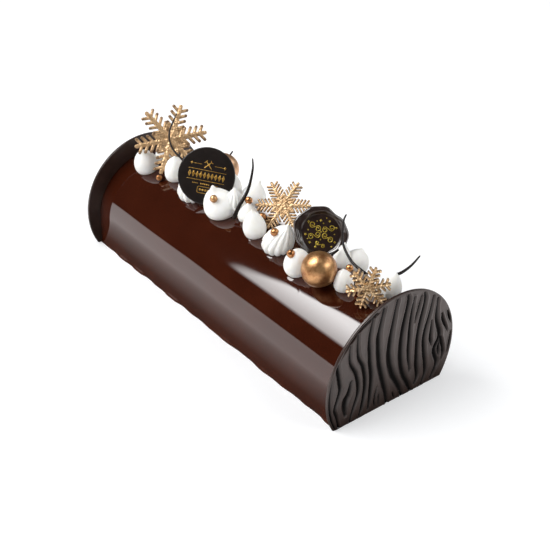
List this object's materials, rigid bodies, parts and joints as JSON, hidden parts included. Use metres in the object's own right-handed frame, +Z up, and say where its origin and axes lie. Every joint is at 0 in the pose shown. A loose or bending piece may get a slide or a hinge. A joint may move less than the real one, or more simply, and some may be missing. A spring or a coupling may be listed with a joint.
{
  "type": "yule log cake",
  "caption": "Glazed round-topped chocolate log cake between two ridged chocolate end discs, topped with meringues, gold snowflakes, plaques, balls, pearls and curls.",
  "frame": {"origin": "under the middle of the log, on the surface that the cake stands on", "axes": "+X along the log towards the near end disc, +Y across it, +Z up"},
  "size_m": [0.25, 0.095, 0.0983],
  "materials": {
    "glaze": "mirror-glossy reddish brown chocolate glaze",
    "dark_chocolate": "satin dark chocolate with sunk grooves",
    "plaque_chocolate": "smooth satin dark chocolate",
    "meringue": "soft matte baked meringue, warm white",
    "gold_chocolate": "satin gold dusted chocolate",
    "gold_shell": "pearly copper gold lustre"
  },
  "bodies": {
    "root": {"log": "glaze", "end_disc_near": "dark_chocolate", "end_disc_far": "dark_chocolate", "gold_ball_1": "gold_shell", "gold_ball_2": "gold_shell", "round_plaque": "plaque_chocolate", "seal_plaque": "plaque_chocolate", "snowflake_1": "gold_chocolate", "snowflake_2": "gold_chocolate", "snowflake_3": "gold_chocolate", "curl_1": "plaque_chocolate", "curl_2": "plaque_chocolate", "curl_3": "plaque_chocolate", "curl_4": "plaque_chocolate", "curl_5": "plaque_chocolate", "curl_6": "plaque_chocolate", "pearl_1": "gold_shell", "pearl_2": "gold_shell", "pearl_3": "gold_shell", "pearl_4": "gold_shell", "pearl_5": "gold_shell", "pearl_6": "gold_shell", "pearl_7": "gold_shell", "meringue_01": "meringue", "meringue_02": "meringue", "rosette_1": "meringue", "meringue_04": "meringue", "meringue_07": "meringue", "rosette_3": "meringue", "meringue_09": "meringue", "meringue_11": "meringue", "meringue_14": "meringue", "meringue_13": "meringue", "meringue_10": "meringue", "meringue_06": "meringue", "rosette_2": "meringue", "meringue_05": "meringue", "meringue_03": "meringue", "meringue_08": "meringue", "meringue_12": "meringue", "meringue_15": "meringue"}
  },
  "joints": []
}
